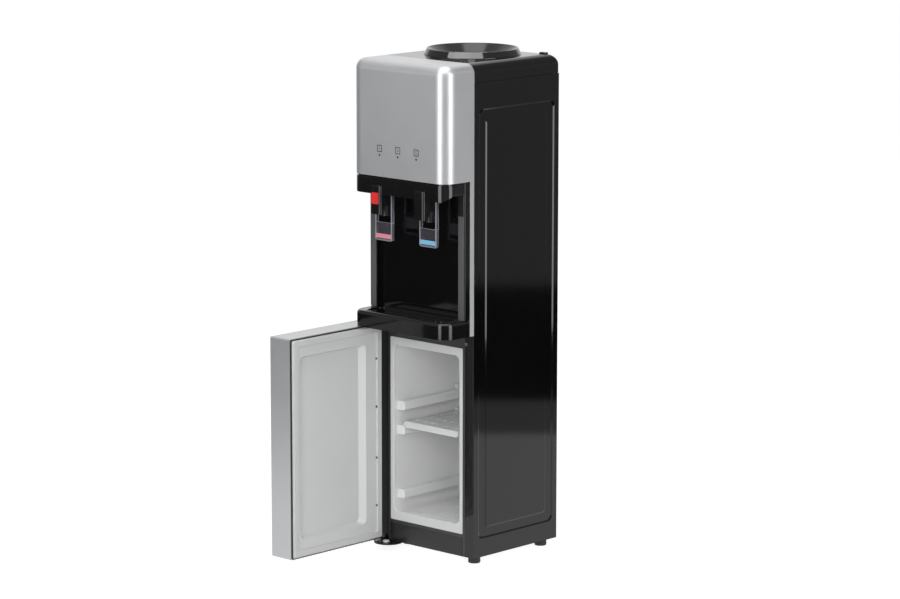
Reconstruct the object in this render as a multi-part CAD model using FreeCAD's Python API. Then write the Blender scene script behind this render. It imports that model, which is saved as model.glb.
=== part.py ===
"""Free-standing hot and cold water dispenser with a storage cabinet under the taps.

Millimetres, +Z up, +X to the viewer's right, +Y towards the back. The origin lies on the
floor, on the centreline, straight below the plane that the cabinet door closes on.
The door is drawn open at a right angle, which is its place at rest.
"""
import FreeCAD
import Part
import math
import os

V = FreeCAD.Vector
X_AXIS, Y_AXIS, Z_AXIS = V(1, 0, 0), V(0, 1, 0), V(0, 0, 1)

# ---- driving dimensions: the body ----
HALF = 140.0              # half the width over the side panels
DEPTH = 270.0             # front plane of the cabinet to the outside of the back panel
BODY_LOW = 18.0           # underside of the cabinet above the floor
SIDE_TOP = 1050.0         # top edge of the side panels
TOP = 1091.0              # top face of the head
HEAD_FRONT = -88.0        # front plane of the head, the taps' fascia and the tray housing
HEAD_LOW = 842.0          # lower edge of the silver head cover
STRIP_LOW = 508.0         # lower end of the silver side strips
STRIP_DEEP = 13.0         # depth of the side strips
CORNER_R = 30.0           # upright front corners of head, fascia and tray housing
TOP_R = 21.5              # rounding along the top edges
WALL = 2.5                # moulded covers
SHEET = 1.2               # folded steel
GAP, SEAM = 0.2, 0.6       # between neighbouring mouldings; under the top cover
INSIDE = 137.0            # clear half width between the pressed side panels

# ---- side panels: a two-step pressing ----
PRESS_DEEP, PRESS_SLOPE = 1.6, 3.4
PRESS_Y0, PRESS_Y1 = 14.5, 255.5
PRESS_LOW, PRESS_HIGH = 58.5, 993.5
PRESS_R = 14.0
FIELD_INSET, FIELD_R = 22.3, 6.0    # raised inner field inside the pressed ring
FIELD_OUT = 1.5
FRONT_FOLD, BACK_FOLD = 25.4, 12.0

# ---- feet, lower hinge and screws ----
FOOT_R = 13.5
FEET = ((111.0, 34.0), (-111.0, 62.0), (111.0, 250.0), (-111.0, 250.0))
TONGUE_X, TONGUE_Y, TONGUE_R = -107.0, -8.4, 32.0
CAP_BOLT_X, CAP_BOLT_Y = -106.0, -16.5
HINGE_PLATE = 2.0
UPPER_PLATE = (-139.0, -96.0, -30.0, -15.0)    # x and y limits
SCREW_HEAD_R, SCREW_HEAD, SCREW_R, SCREW_LONG = 3.6, 1.6, 1.8, 7.0
BACK_SCREW_X, BACK_SCREW_ZS = 131.0, (60.0, 350.0, 640.0, 930.0, 1035.0)
HINGE_SCREW_XS, HINGE_SCREW_Y = (-130.0, -88.0), 8.0
PLUG_HOLE_X, PLUG_HOLE_Z = 118.0, 487.0

# ---- cabinet ----
KICK_HIGH, KICK_JOINT = 60.0, 1.2
LINER_HALF = 107.5        # half width of the liner's front flange
LINER_LOW, LINER_HIGH = 67.5, 476.0
LINER_WALL = 1.8
CAVITY_HALF, CAVITY_DEEP, CAVITY_R = 97.0, 208.0, 14.0
CAVITY_LOW, CAVITY_HIGH = 88.0, 458.0
FRAME_DEEP = 9.0
RIB_OUT, RIB_HIGH = 19.0, 20.0
RIB_LEFT_FRONT, RIB_RIGHT_FRONT = 12.0, 22.0
RIB_LOWS = (114.5, 258.0, 312.0)
STOP_Y, STOP_WIDE, STOP_HIGH = 195.0, 9.0, 10.0
SHELF_HALF, SHELF_TAB, SHELF_APRON = 80.0, 93.0, 77.0
SHELF_FRONT = 14.0
SHELF_Z = RIB_LOWS[1] + RIB_HIGH

# ---- door, placed open ----
PIN_X, PIN_Y, PIN_R = -134.2, -18.2, 2.5
BUSH_R, BUSH_LONG, PIN_PLAY = 4.1, 17.0, 0.06
DOOR_LONG = 279.6         # hinge edge to free edge
DOOR_THICK = 67.4         # silver front to the gasket's face
DOOR_FACE = -117.0        # the gasket's face when open
DOOR_HINGE_EDGE = -12.4
DOOR_LOW, DOOR_HIGH = 22.5, 506.0
DOOR_SKIN = 1.5
DOOR_R = 4.0
LINER_STAND = 7.0         # liner and gasket stand this far out of the silver shell
TRIM_STAND, TRIM_OUTER, TRIM_INNER = 3.0, 1.7, 3.6
GASKET_THICK, GASKET_WIDE = 4.0, 14.0
GASKET_INSET = 5.0
BOWL_DEEP, BOWL_WALL = 15.0, 1.5
BOWL_FROM_HINGE, BOWL_TO_FREE = 46.0, 255.0
BOWL_LOW, BOWL_HIGH, BOWL_R = 62.0, 467.0, 12.0
BOWL_SLOPE_HINGE, BOWL_SLOPE_FREE, BOWL_SLOPE_ENDS = 18.0, 8.0, 7.0
DOOR_SCREW_Y, DOOR_SCREW_R = -31.2, 2.6
DOOR_SCREW_ZS = (100.3, 207.5, 321.8, 428.6)

# ---- dispensing recess ----
FASCIA_LOW, FASCIA_HIGH, FASCIA_WALL = 803.0, 838.0, 3.0
FASCIA_RISE_YS, FASCIA_RISE = (-85.0, -66.0), 12.5    # where the lower edge climbs
FASCIA_EDGE_R = 2.2
CEILING_LOW, CEILING_THICK = 826.0, 3.0
RIM_FRONT, RIM_WIDE, RIM_R = -30.0, 19.5, 3.5
RECESS_BACK = -17.0
TRAY_HIGH = 544.0
TRAY_HALF, TRAY_Y0, TRAY_Y1, TRAY_R = 112.0, -80.0, -22.0, 16.0
TRAY_PLAY = 0.5
LEDGE_DROP = 4.5

# ---- taps and paddles ----
TAP_X = 65.4
CAP_X, CAP_HALF, CAP_R = 63.5, 15.0, 5.5
CAP_FRONT, CAP_BACK, CAP_LOW, CAP_HIGH = -92.0, -84.6, 760.0, 822.0
SPOUT_Y, SPOUT_R, SPOUT_LOW = -57.0, 9.0, 753.0
VALVE_LOW = 776.0
BUTTON_HALF, BUTTON_LOW, BUTTON_HIGH = 9.8, 782.2, 806.8
BUTTON_PROUD, BUTTON_BACK, BUTTON_TRAVEL = 1.6, -90.6, 1.5
PIVOT_Y, PIVOT_Z, PIVOT_R = -60.5, 814.0, 2.0
PADDLE_HALF = 25.0
PADDLE_FRONT, PADDLE_BACK = -64.0, -57.0
PADDLE_LOW, PADDLE_BAR = 699.0, 739.0
PADDLE_ARM, PADDLE_SKIN, PADDLE_CORNER = 3.5, 2.5, 6.0
STRIPE_HALF, STRIPE_LOW, STRIPE_HIGH, STRIPE_THICK = 22.5, 704.5, 714.0, 1.0

# ---- indicator lamps ----
LAMP_XS, LAMP_Z, LAMP_R = (-54.0, 0.0, 54.0), 888.5, 2.2

# ---- bottle collar and cold tank ----
COLLAR_Y, COLLAR_R, COLLAR_RIM_R, COLLAR_HIGH = 146.0, 106.0, 99.0, 1104.5
NECK_R = 29.5
TANK_R, TANK_LOW, TANK_HIGH = 72.0, 885.0, 1044.0
CUP_R, CUP_LOW, CUP_HIGH = 100.0, 870.0, 1040.0
OUTLET_X, OUTLET_Y = 50.0, 112.0
PLUG_X, PLUG_Y, PLUG_HALF_X, PLUG_HALF_Y, PLUG_R = 112.0, 251.0, 9.0, 6.0, 4.0

# ---- machine compartment and back ----
DECK_Z, DECK_THICK = 492.0, 1.5
COMPRESSOR_X, COMPRESSOR_Y, COMPRESSOR_R, COMPRESSOR_HIGH = 48.0, 170.0, 56.0, 140.0
HOT_X, HOT_Y, HOT_R, HOT_LOW, HOT_HIGH = -72.0, 75.0, 44.0, 505.0, 700.0
HOSE_R, HOSE_BORE, HOSE_BEND, HOSE_Z = 5.5, 3.5, 9.0, 848.0
TAIL_TOP = 836.0
COIL_HALF, COIL_LOW, COIL_ROWS, COIL_PITCH = 92.0, 80.0, 12, 34.0
COIL_Y, COIL_R, WIRE_R = DEPTH + 12.0, 2.6, 0.9
SWITCH_X0, SWITCH_X1, SWITCH_LOW, SWITCH_HIGH = 28.0, 56.0, 826.0, 894.0
ROCKER_ZS = (("cold_switch_rocker", 845.0), ("hot_switch_rocker", 875.0))
ROCKER_R, ROCKER_AXIS_Y = 11.0, DEPTH - 6.0
GLAND_X, GLAND_Z, GLAND_R, GLAND_BORE = 100.0, 525.0, 7.9, 4.0
DRAIN_Z, DRAIN_R = 905.0, 8.8


# ---- small helpers ----

def box(x0, x1, y0, y1, z0, z1):
    return Part.makeBox(x1 - x0, y1 - y0, z1 - z0, V(x0, y0, z0))


def post(x, y, z0, z1, r):
    return Part.makeCylinder(r, z1 - z0, V(x, y, z0), Z_AXIS)


def rod_y(x, z, y0, y1, r):
    return Part.makeCylinder(r, y1 - y0, V(x, y0, z), Y_AXIS)


def rod_x(y, z, x0, x1, r):
    return Part.makeCylinder(r, x1 - x0, V(x0, y, z), X_AXIS)


def fuse(first, *others):
    return first.fuse(list(others)).removeSplitter()


def cut(shape, *tools):
    return shape.cut(list(tools))


def runs_along(edge, axis):
    """True for a straight edge parallel to an axis."""
    straight = edge.Curve.TypeId == "Part::GeomLine"
    return straight and abs(edge.tangentAt(edge.FirstParameter).dot(axis)) > 0.99


def round_edges(shape, radius, wanted):
    return shape.makeFillet(radius, [e for e in shape.Edges if wanted(e, e.CenterOfMass)])


def rounded(axis, radius, *limits):
    """A box whose four edges along an axis are rounded."""
    return round_edges(box(*limits), radius, lambda e, c: runs_along(e, axis))


def nose(inset, y_back, z0, z1):
    """A block from the head's front plane back to y_back, its two front corners rounded."""
    block = box(-HALF + inset, HALF - inset, HEAD_FRONT + inset, y_back, z0, z1)

    def front_corner(edge, centre):
        return runs_along(edge, Z_AXIS) and centre.y < HEAD_FRONT + inset + 1
    return round_edges(block, CORNER_R - inset, front_corner)


def level_edge(edge, z):
    """True for an edge that lies flat at the height z."""
    limits = edge.BoundBox
    return limits.ZMax - limits.ZMin < 0.01 and abs(edge.CenterOfMass.z - z) < 0.01


def mirrored(shape):
    return shape.mirror(V(0, 0, 0), X_AXIS)


def turned(outline, x, y):
    """A solid turned about the upright axis through x, y. The outline is (radius, height) pairs."""
    points = [V(x + r, y, z) for r, z in outline]
    return Part.Face(Part.makePolygon(points + points[:1])).revolve(V(x, y, 0), Z_AXIS, 360)


def tube(points, outer, bend, bore=0.0):
    """A tube along straight runs joined by arcs that touch them."""
    points = [V(*p) for p in points]
    edges, start = [], points[0]
    for before, corner, after in zip(points, points[1:], points[2:]):
        way_in, way_out = (corner - before).normalize(), (after - corner).normalize()
        half_turn = way_in.getAngle(way_out) / 2
        reach = bend * math.tan(half_turn)
        arc_start, arc_end = corner - way_in * reach, corner + way_out * reach
        inward = (way_out - way_in).normalize()
        middle = corner + inward * (bend / math.cos(half_turn) - bend)
        edges.append(Part.LineSegment(start, arc_start).toShape())
        edges.append(Part.Arc(arc_start, middle, arc_end).toShape())
        start = arc_end
    edges.append(Part.LineSegment(start, points[-1]).toShape())
    path = Part.Wire(edges)
    way = (points[1] - points[0]).normalize()
    rings = [Part.Wire(Part.makeCircle(r, points[0], way)) for r in (outer, bore) if r > 0]
    pipes = [path.makePipeShell([ring], True, False) for ring in rings]
    return pipes[0] if len(pipes) == 1 else pipes[0].cut(pipes[1])


def screw(x, y, z, way, head_r=SCREW_HEAD_R, head=SCREW_HEAD, shank_r=SCREW_R, long=SCREW_LONG):
    """A pan head screw. Its head stands out along way from the point x, y, z."""
    seat, way = V(x, y, z), V(*way)
    pan = Part.makeCylinder(head_r, head, seat, way)

    def outer_rim(edge, centre):
        return edge.Curve.TypeId == "Part::GeomCircle" and (centre - seat).dot(way) > head - 0.01
    pan = round_edges(pan, head * 0.6, outer_rim)
    return fuse(pan, Part.makeCylinder(shank_r, long, seat, way * -1))


def save(name, *solids):
    shape = solids[0] if len(solids) == 1 else Part.makeCompound(list(solids))
    assert shape.isValid(), name
    shape.exportStep("parts/" + name + ".step")
    b = shape.BoundBox
    print(f"{name:20s} {len(shape.Solids):2d} solids  x {b.XMin:.1f} {b.XMax:.1f}"
          f"  y {b.YMin:.1f} {b.YMax:.1f}  z {b.ZMin:.1f} {b.ZMax:.1f}")


# ---- sheet metal body ----

def back_screw_holes():
    return [rod_y(x, z, DEPTH - 9, DEPTH + 1, SCREW_R)
            for x in (-BACK_SCREW_X, BACK_SCREW_X) for z in BACK_SCREW_ZS]


def hinge_screw_holes():
    return [post(x, HINGE_SCREW_Y, 0, BODY_LOW + 20, SCREW_R) for x in HINGE_SCREW_XS]


def pressing(inset, x0, x1, r=PRESS_R):
    """A block in the shape of the pressing, made smaller all round by inset."""
    return rounded(X_AXIS, r, x0, x1, PRESS_Y0 + inset, PRESS_Y1 - inset,
                   PRESS_LOW + inset, PRESS_HIGH - inset)


def outer_wire(shape, x):
    face = [f for f in shape.Faces if abs(f.CenterOfMass.x - x) < 0.001][0]
    return face.OuterWire


def side_panel():
    """Right side: a sheet folded at the front and back, with a shallow two-step pressing."""
    sheet = box(HALF - SHEET, HALF, 0, DEPTH, BODY_LOW, SIDE_TOP)
    front = box(HALF - FRONT_FOLD, HALF - SHEET, 0, SHEET, BODY_LOW, SIDE_TOP)
    back_y = DEPTH - SHEET - 0.1
    back = box(HALF - BACK_FOLD, HALF - SHEET, back_y - SHEET, back_y, BODY_LOW, SIDE_TOP)
    floor_x = HALF - PRESS_DEEP
    backing = pressing(-SHEET, floor_x - SHEET, HALF - SHEET)
    mouth = outer_wire(pressing(0, HALF, HALF + 1), HALF)
    floor = outer_wire(pressing(PRESS_SLOPE, floor_x, HALF), floor_x)
    top = floor_x + FIELD_OUT
    inner = FIELD_INSET + PRESS_SLOPE
    field = Part.makeLoft([outer_wire(pressing(FIELD_INSET, floor_x, HALF, FIELD_R), floor_x),
                           outer_wire(pressing(inner, top, HALF, FIELD_R), top)], True, True)
    hollow = pressing(inner, floor_x - SHEET - 1, floor_x - SHEET + FIELD_OUT, FIELD_R)
    panel = fuse(sheet, backing).cut(Part.makeLoft([mouth, floor], True, True))
    return cut(fuse(panel, field, front, back), hollow, *back_screw_holes())


def back_panel():
    """Outer back sheet with louvres at the machine compartment."""
    sheet = box(-HALF + 1.4, HALF - 1.4, DEPTH - SHEET, DEPTH, BODY_LOW + 4, SIDE_TOP - 2)
    louvres = []
    for row in range(9):
        z = 560 + row * 24
        for x in (-84, 8):
            louvres.append(rounded(Y_AXIS, 2.9, x, x + 70, DEPTH - 5, DEPTH + 5, z, z + 6))
    switch = box(SWITCH_X0 + 2, SWITCH_X1 - 2, DEPTH - 5, DEPTH + 5, SWITCH_LOW + 4, SWITCH_HIGH - 4)
    gland = rod_y(GLAND_X, GLAND_Z, DEPTH - 5, DEPTH + 5, GLAND_R + 0.1)
    drain = rod_y(0, DRAIN_Z, DEPTH - 5, DEPTH + 5, DRAIN_R + 0.1)
    return cut(sheet, switch, gland, drain, *louvres, *back_screw_holes())


def base_plate():
    """Pan under the cabinet with a turned-up rim at the front and back."""
    y0, y1, rim_top = 1.4, DEPTH - 2.7, BODY_LOW + 16
    pan = box(-INSIDE, INSIDE, y0, y1, BODY_LOW, BODY_LOW + 1.5)
    rims = [box(-INSIDE, INSIDE, y, y + 1.5, BODY_LOW, rim_top) for y in (y0, y1 - 1.5)]
    return cut(fuse(pan, *rims), *hinge_screw_holes())


def levelling_feet():
    outline = [(0, 0), (FOOT_R - 1, 0), (FOOT_R, 2.5), (FOOT_R - 0.5, BODY_LOW), (0, BODY_LOW)]
    return [turned(outline, x, y) for x, y in FEET]


def front_frame():
    """Black inner frame between the liner's flange and the folded edges of the side panels."""
    edge = HALF - FRONT_FOLD - GAP
    outer = box(-edge, edge, 0, FRAME_DEEP, KICK_HIGH, STRIP_LOW - GAP)
    window = box(-LINER_HALF - GAP, LINER_HALF + GAP, -1, FRAME_DEEP + 1,
                 LINER_LOW - GAP, LINER_HIGH + GAP)
    leg = box(LINER_HALF, edge, 0, SHEET, BODY_LOW, KICK_HIGH)
    return fuse(outer.cut(window), leg, mirrored(leg))


def kick_panel():
    """Plate below the cupboard, with an open joint at each end."""
    edge = LINER_HALF - KICK_JOINT
    return box(-edge, edge, 0, SHEET, BODY_LOW, KICK_HIGH - GAP)


def hinge_plate_lower():
    """A round tongue under the front left corner that carries the pin and a capped bolt."""
    z1 = BODY_LOW
    z0 = z1 - HINGE_PLATE
    tongue = post(TONGUE_X, TONGUE_Y, z0, z1, TONGUE_R)
    eye = post(PIN_X, PIN_Y, z0, z1, 5.8)
    web = box(-139.6, -78, TONGUE_Y, 19, z0, z1)
    pin_hole = post(PIN_X, PIN_Y, 0, BODY_LOW + 1, PIN_R)
    return cut(fuse(tongue, eye, web), pin_hole, *hinge_screw_holes())


def hinge_plate_upper():
    """Plate let into the underside of the tray housing."""
    plate = rounded(Z_AXIS, 4, *UPPER_PLATE, STRIP_LOW + 1, STRIP_LOW + 4)
    return plate.cut(post(PIN_X, PIN_Y, STRIP_LOW, STRIP_LOW + 5, PIN_R))


def hinge_pins():
    lower = post(PIN_X, PIN_Y, BODY_LOW - HINGE_PLATE, DOOR_LOW + 12, PIN_R)
    upper = post(PIN_X, PIN_Y, DOOR_HIGH - 12, STRIP_LOW + 4, PIN_R)
    return [lower, upper]


def hinge_washer():
    ring = post(PIN_X, PIN_Y, BODY_LOW, DOOR_LOW - 0.3, 7.5)
    return ring.cut(post(PIN_X, PIN_Y, 0, DOOR_LOW, PIN_R))


def hinge_plate_cap():
    z0 = BODY_LOW
    return turned([(0, z0), (7.5, z0), (7.5, z0 + 2.4), (6.3, z0 + 3.6), (0, z0 + 3.6)],
                  CAP_BOLT_X, CAP_BOLT_Y)


def panel_screws():
    back = [screw(x, DEPTH, z, (0, 1, 0)) for x in (-BACK_SCREW_X, BACK_SCREW_X) for z in BACK_SCREW_ZS]
    under = [screw(x, HINGE_SCREW_Y, BODY_LOW - HINGE_PLATE, (0, 0, -1)) for x in HINGE_SCREW_XS]
    return back + under


def body():
    right = side_panel()
    save("side_panel_right", right)
    save("side_panel_left", mirrored(right))
    save("back_panel", back_panel())
    save("base_plate", base_plate())
    save("levelling_feet", *levelling_feet())
    save("front_frame", front_frame())
    save("kick_panel", kick_panel())
    save("hinge_plate_lower", hinge_plate_lower())
    save("hinge_plate_upper", hinge_plate_upper())
    save("hinge_pins", *hinge_pins())
    save("hinge_washer", hinge_washer())
    save("hinge_plate_cap", hinge_plate_cap())
    save("hinge_hole_plug", rod_y(PLUG_HOLE_X, PLUG_HOLE_Z, -0.8, 0, 3.8))
    save("panel_screws", *panel_screws())


# ---- cabinet ----

def cavity(grow, y0, y1):
    return rounded(Y_AXIS, CAVITY_R + grow, -CAVITY_HALF - grow, CAVITY_HALF + grow, y0, y1,
                   CAVITY_LOW - grow, CAVITY_HIGH + grow)


def liner_ribs():
    """Three pairs of shelf ribs with stops behind the upper two, and flat ribs on the floor."""
    ribs = []
    for low in RIB_LOWS:
        for front in (RIB_LEFT_FRONT, RIB_RIGHT_FRONT):
            rib = box(-CAVITY_HALF - 0.5, -CAVITY_HALF + RIB_OUT, front, CAVITY_DEEP + 0.5,
                      low, low + RIB_HIGH)
            rib = round_edges(rib, 3.0, lambda e, c: c.x > -CAVITY_HALF + RIB_OUT - 0.1)
            ribs.append(rib if front == RIB_LEFT_FRONT else mirrored(rib))
    for low in RIB_LOWS[1:]:
        top = low + RIB_HIGH
        stop = box(-CAVITY_HALF - 0.5, -CAVITY_HALF + STOP_WIDE, STOP_Y, CAVITY_DEEP + 0.5,
                   top - 1, top + STOP_HIGH)
        ribs += [stop, mirrored(stop)]
    for count in range(9):
        x = -64 + 16 * count
        ribs.append(box(x - 3, x + 3, 10, CAVITY_DEEP - 20, CAVITY_LOW - 0.5, CAVITY_LOW + 0.8))
    return ribs


def cabinet_liner():
    """White inner cupboard: a flanged box with a softened mouth."""
    flange = rounded(Y_AXIS, 3, -LINER_HALF, LINER_HALF, 0, 3, LINER_LOW, LINER_HIGH)
    shell = cavity(LINER_WALL, 0, CAVITY_DEEP + LINER_WALL)
    liner = fuse(flange, shell).cut(cavity(0, -1, CAVITY_DEEP))

    def mouth(edge, centre):
        b = edge.BoundBox
        level = abs(b.YMin) < 0.01 and abs(b.YMax) < 0.01
        across = b.XMin > -CAVITY_HALF - 1 and b.XMax < CAVITY_HALF + 1
        return level and across and b.ZMin > CAVITY_LOW - 1 and b.ZMax < CAVITY_HIGH + 1
    return fuse(round_edges(liner, 2.4, mouth), *liner_ribs())


def shelf_slots():
    slots = []
    for row in range(4):
        y = 46 + 38 * row
        for column in range(7):
            x = -66 + 22 * column
            slots.append(rounded(Z_AXIS, 2.9, x - 7, x + 7, y - 3, y + 3, SHELF_Z - 5, SHELF_Z + 20))
    return slots


def cabinet_shelf():
    """White slotted shelf with a front lip. Thin tabs at its ends lie on the middle ribs."""
    y1 = STOP_Y - 1
    foot = SHELF_Z + 0.1
    panel = box(-SHELF_HALF, SHELF_HALF, SHELF_FRONT, y1, SHELF_Z + 5, SHELF_Z + 8.5)
    skirt = box(SHELF_HALF - 3.5, SHELF_HALF, SHELF_FRONT, y1, foot, SHELF_Z + 6)
    tab = box(SHELF_HALF - 3.5, SHELF_TAB, SHELF_FRONT + 6, y1, foot, SHELF_Z + 2.6)
    lip = box(-SHELF_HALF, SHELF_HALF, SHELF_FRONT, SHELF_FRONT + 3, foot, SHELF_Z + 10.5)
    lip = round_edges(lip, 1.2, lambda e, c: runs_along(e, X_AXIS) and c.z > SHELF_Z + 10)
    apron = box(-SHELF_APRON, SHELF_APRON, SHELF_FRONT, SHELF_FRONT + 3, SHELF_Z - 3.5, SHELF_Z + 1)
    return cut(fuse(panel, skirt, mirrored(skirt), tab, mirrored(tab), lip, apron), *shelf_slots())


def cabinet_foam():
    block = box(-INSIDE + GAP, INSIDE - GAP, FRAME_DEEP + 1, DEPTH - 8, 38, DECK_Z - 1)
    grow = LINER_WALL + GAP
    return block.cut(cavity(grow, -1, CAVITY_DEEP + grow))


def cabinet():
    save("cabinet_liner", cabinet_liner())
    save("cabinet_shelf", cabinet_shelf())
    save("cabinet_foam", cabinet_foam())


# ---- door, drawn open: its inner face looks along +X ----

def door_slice(x0, x1, inset):
    """A slice of the door between two planes, inset from the door's four edges."""
    return rounded(X_AXIS, DOOR_R, x0, x1, DOOR_HINGE_EDGE - DOOR_LONG + inset,
                   DOOR_HINGE_EDGE - inset, DOOR_LOW + inset, DOOR_HIGH - inset)


def door_bowl(grow, depth):
    """The hollow in the door's inner face, with sloping walls and its floor at the given depth."""
    free, hinge = DOOR_HINGE_EDGE - BOWL_TO_FREE - grow, DOOR_HINGE_EDGE - BOWL_FROM_HINGE + grow
    low, high = BOWL_LOW - grow, BOWL_HIGH + grow
    mouth = rounded(X_AXIS, BOWL_R + grow, DOOR_FACE, DOOR_FACE + 2, free, hinge, low, high)
    floor = rounded(X_AXIS, BOWL_R + grow, DOOR_FACE - depth, DOOR_FACE, free + BOWL_SLOPE_FREE,
                    hinge - BOWL_SLOPE_HINGE, low + BOWL_SLOPE_ENDS, high - BOWL_SLOPE_ENDS)
    ends = [outer_wire(floor, DOOR_FACE - depth), outer_wire(mouth, DOOR_FACE)]
    return fuse(Part.makeLoft(ends, True, True), mouth)


def bush_sockets(r):
    return [post(PIN_X, PIN_Y, DOOR_LOW - 1, DOOR_LOW + BUSH_LONG, r),
            post(PIN_X, PIN_Y, DOOR_HIGH - BUSH_LONG, DOOR_HIGH + 1, r)]


def door_bushes():
    bodies = [post(PIN_X, PIN_Y, DOOR_LOW, DOOR_LOW + BUSH_LONG, BUSH_R),
              post(PIN_X, PIN_Y, DOOR_HIGH - BUSH_LONG, DOOR_HIGH, BUSH_R)]
    bore = post(PIN_X, PIN_Y, 0, STRIP_LOW, PIN_R + PIN_PLAY)
    return [b.cut(bore) for b in bodies]


def door_shell(x0, x1):
    """Silver outer shell, open towards the cabinet."""
    outer = door_slice(x0, x1, 0)
    outer = round_edges(outer, 3.0, lambda e, c: abs(c.x - x0) < 0.01)
    return cut(outer, door_slice(x0 + DOOR_SKIN, x1 + 1, DOOR_SKIN), *bush_sockets(BUSH_R))


def door_trim(x0, x1):
    """Black frame between the silver shell and the white liner."""
    return door_slice(x0, x1, TRIM_OUTER).cut(door_slice(x0 - 1, x1 + 1, TRIM_INNER))


def door_liner(x0, x1):
    """White inner skin with the bowl pressed into it."""
    sheet = door_slice(x0, x1, TRIM_INNER + 0.1)
    behind = box(DOOR_FACE - DOOR_THICK, x1, DOOR_HINGE_EDGE - DOOR_LONG, DOOR_HINGE_EDGE,
                 DOOR_LOW, DOOR_HIGH)
    bowl = door_bowl(BOWL_WALL, BOWL_DEEP + BOWL_WALL).common(behind)
    screws = [rod_x(DOOR_SCREW_Y, z, x0 - 1, x1 + 1, 1.3) for z in DOOR_SCREW_ZS]
    return cut(fuse(sheet, bowl), door_bowl(0, BOWL_DEEP), *screws)


def door_gasket(x0):
    """White seal round the door, notched for the screws beside the hinge."""
    ring = door_slice(x0, DOOR_FACE, GASKET_INSET)
    ring = ring.cut(door_slice(x0 - 1, DOOR_FACE + 1, GASKET_INSET + GASKET_WIDE))
    ring = round_edges(ring, 1.6, lambda e, c: abs(c.x - DOOR_FACE) < 0.01)
    return cut(ring, *[rod_x(DOOR_SCREW_Y, z, x0 - 1, DOOR_FACE + 1, DOOR_SCREW_R + 0.2)
                       for z in DOOR_SCREW_ZS])


def door_foam(x0, x1):
    grow = BOWL_WALL + GAP
    return cut(door_slice(x0, x1, DOOR_SKIN + GAP), door_bowl(grow, BOWL_DEEP + grow),
               *bush_sockets(BUSH_R + GAP))


def door():
    front = DOOR_FACE - DOOR_THICK
    shell_edge = DOOR_FACE - LINER_STAND
    liner_back, liner_face = shell_edge - 3, DOOR_FACE - GASKET_THICK
    save("door_shell", door_shell(front, shell_edge))
    save("door_trim", door_trim(liner_back, shell_edge + TRIM_STAND))
    save("door_liner", door_liner(liner_back, liner_face))
    save("door_gasket", door_gasket(liner_face))
    save("door_foam", door_foam(front + DOOR_SKIN + GAP, liner_back - GAP))
    save("door_bushes", *door_bushes())
    screws = [screw(liner_face, DOOR_SCREW_Y, z, (1, 0, 0), DOOR_SCREW_R, 1.2, 1.3, 5.8)
              for z in DOOR_SCREW_ZS]
    save("door_liner_screws", *screws)


# ---- head and top ----

def head_block(inset, y_back, z0):
    """The head's outline with the front and side edges of its top rounded."""
    top = TOP - inset

    def top_edge(edge, centre):
        return level_edge(edge, top) and centre.y < y_back - 0.01
    return round_edges(nose(inset, y_back, z0, top), TOP_R - inset, top_edge)


def head_cover():
    """Silver head, open below and behind, with a narrow strip running down each side."""
    shell = head_block(0, 0, HEAD_LOW).cut(head_block(WALL, 1, HEAD_LOW - 1))
    strip = box(HALF - WALL, HALF, -STRIP_DEEP, 0, STRIP_LOW, HEAD_LOW + 5)
    lamps = [rod_y(x, LAMP_Z, HEAD_FRONT - 1, HEAD_FRONT + 8, LAMP_R) for x in LAMP_XS]
    return cut(fuse(shell, strip, mirrored(strip)), *lamps)


def indicator_lenses():
    return [rod_y(x, LAMP_Z, HEAD_FRONT - 0.4, HEAD_FRONT + 5, LAMP_R - 0.05) for x in LAMP_XS]


def indicator_board():
    return box(-70, 70, HEAD_FRONT + 5.1, HEAD_FRONT + 6.7, LAMP_Z - 16, LAMP_Z + 16)


def top_block(inset, z0, y0):
    """The top's outline with its two sides and its back rounded."""
    top = TOP - inset
    block = box(-HALF + inset, HALF - inset, y0, DEPTH - inset, z0, top)

    def back_corner(edge, centre):
        return runs_along(edge, Z_AXIS) and centre.y > DEPTH - inset - 1

    def top_edge(edge, centre):
        return level_edge(edge, top) and centre.y > y0 + 0.05
    return round_edges(round_edges(block, 4.0, back_corner), TOP_R - inset, top_edge)


def top_cover():
    """Black cover behind the head, with a round hole under the bottle collar."""
    cover = top_block(0, SIDE_TOP + SEAM, 0.3).cut(top_block(WALL, SIDE_TOP - 1, -1))
    hole = post(0, COLLAR_Y, SIDE_TOP, TOP + 1, COLLAR_RIM_R - 2)
    return cut(cover, hole, post(PLUG_X, PLUG_Y, TOP - 10, TOP + 1, PLUG_R))


def top_plug():
    """Black plug near the back corner. Its underside follows the rounding of the top."""
    head = rounded(Z_AXIS, 3.0, PLUG_X - PLUG_HALF_X, PLUG_X + PLUG_HALF_X, PLUG_Y - PLUG_HALF_Y,
                   PLUG_Y + PLUG_HALF_Y, TOP - 4, TOP + 3.2)
    stem = post(PLUG_X, PLUG_Y, TOP - 8, TOP + 1, PLUG_R - 0.1)
    return fuse(head.cut(top_block(0, SIDE_TOP, 0.3)), stem)


def bottle_collar():
    """Ring and funnel for the upturned bottle, with the throat that its neck goes into."""
    z0 = TOP + 0.1
    rim, throat = COLLAR_RIM_R, NECK_R + 2.5
    outside = [(throat, z0 - 50), (throat, z0 - 22.5), (47, z0 - 18.6), (73, z0 - 6.8),
               (rim - 4, z0 - 4), (rim - 4, z0), (COLLAR_R, z0), (COLLAR_R, z0 + 0.5),
               (rim + 2, COLLAR_HIGH - 3.5), (rim + 0.6, COLLAR_HIGH - 0.9), (rim - 0.6, COLLAR_HIGH)]
    inside = [(rim - 2, COLLAR_HIGH), (rim - 4, COLLAR_HIGH - 1.2), (72, z0 - 4), (46, z0 - 16),
              (NECK_R, z0 - 20), (NECK_R, z0 - 50)]
    return turned(outside + inside, 0, COLLAR_Y)


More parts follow.
